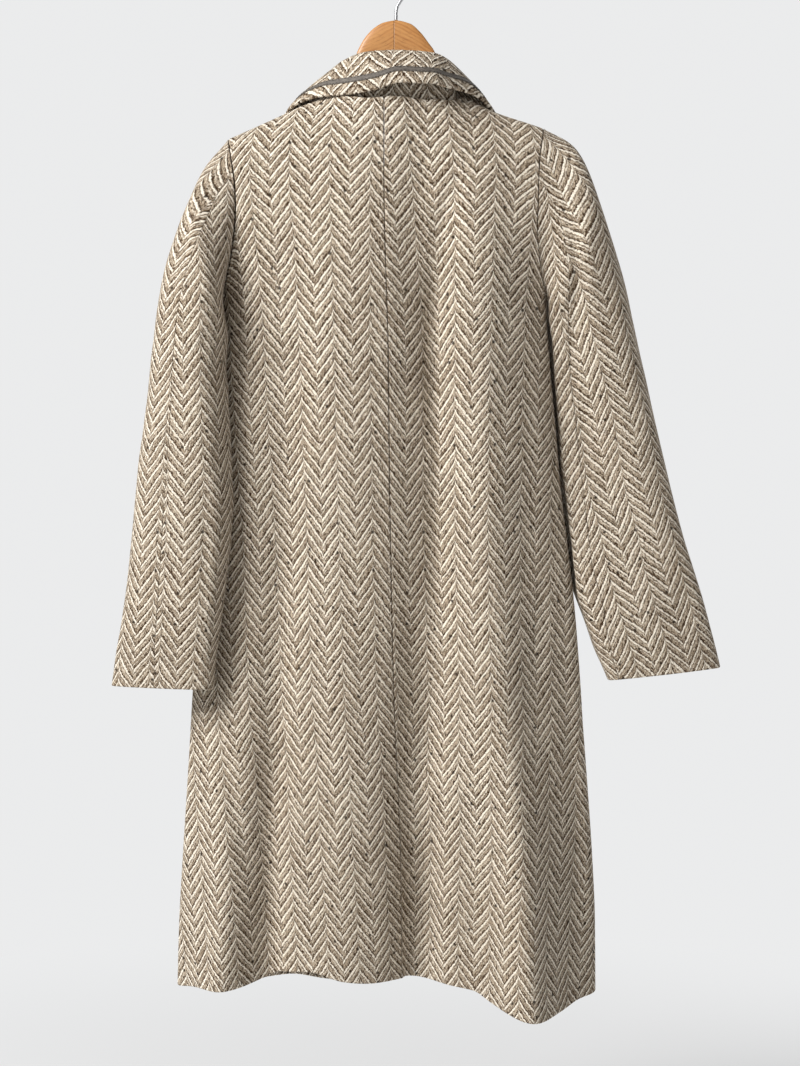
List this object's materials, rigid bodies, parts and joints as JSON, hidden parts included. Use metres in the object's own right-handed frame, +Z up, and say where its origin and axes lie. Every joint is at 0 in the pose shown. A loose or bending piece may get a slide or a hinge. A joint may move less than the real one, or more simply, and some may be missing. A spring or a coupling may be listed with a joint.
{
  "type": "long pea coat on a wooden hanger",
  "caption": "Knee-length double-breasted pea coat in cream and taupe herringbone tweed, hanging open-sleeved from a wooden hanger with a wire hook.",
  "frame": {"origin": "inside top of the hanger's hook, where a rail holds it", "axes": "+Z up, +X the wearer's left, -Y the way the coat's front faces"},
  "size_m": [0.7178, 0.1855, 1.2426],
  "materials": {
    "herringbone_wool": "soft napped herringbone wool",
    "tape": "matte woven tape",
    "button_horn": "dark horn, soft gloss",
    "hanger_wood": "satin varnish",
    "hook_steel": "plated wire"
  },
  "bodies": {
    "root": {"back_left": "herringbone_wool", "back_right": "herringbone_wool", "front_left": "herringbone_wool", "front_right": "herringbone_wool", "sleeve_top_left": "herringbone_wool", "sleeve_top_right": "herringbone_wool", "sleeve_under_left": "herringbone_wool", "sleeve_under_right": "herringbone_wool", "collar": "herringbone_wool", "lapel_left": "herringbone_wool", "lapel_right": "herringbone_wool", "collar_trim": "tape", "button_1": "button_horn", "button_2": "button_horn", "button_3": "button_horn", "button_4": "button_horn", "button_5": "button_horn", "button_6": "button_horn", "hanger_wood_left": "hanger_wood", "hanger_wood_right": "hanger_wood", "hanger_hook": "hook_steel"}
  },
  "joints": []
}
